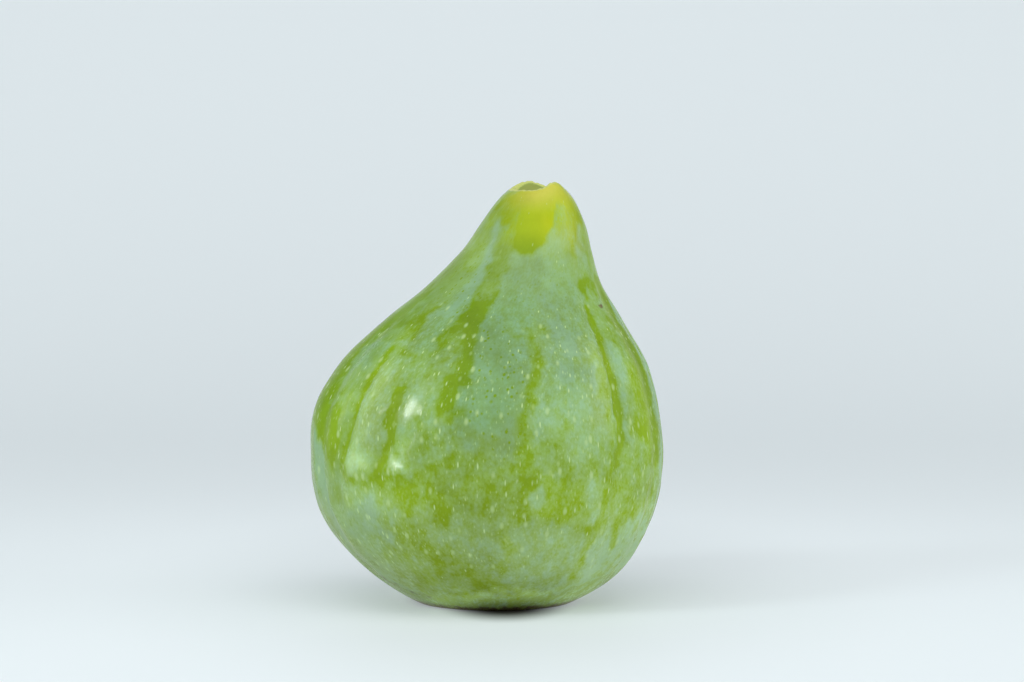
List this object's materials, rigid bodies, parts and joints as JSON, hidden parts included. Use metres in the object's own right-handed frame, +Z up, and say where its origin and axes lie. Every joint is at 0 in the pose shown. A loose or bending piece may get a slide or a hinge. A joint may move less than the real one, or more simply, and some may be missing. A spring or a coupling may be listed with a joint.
{
  "type": "fresh fig",
  "caption": "Whole fresh green fig, round belly, neck leaning to one side, torn cup where the stalk came off, shallow folds, standing on its flat eye end.",
  "frame": {"origin": "on the resting plane, under the middle of the bounding box", "axes": "+Z up from the eye end to the torn cup, +X the way the neck leans, -Y the front"},
  "size_m": [0.05, 0.0482, 0.0596],
  "materials": {
    "waxy_skin": "smooth waxy fruit skin, yellow-green where the bloom is rubbed off, satin and blue-green under the bloom, with fine pale flecks"
  },
  "bodies": {
    "root": {"fig": "waxy_skin"}
  },
  "joints": []
}
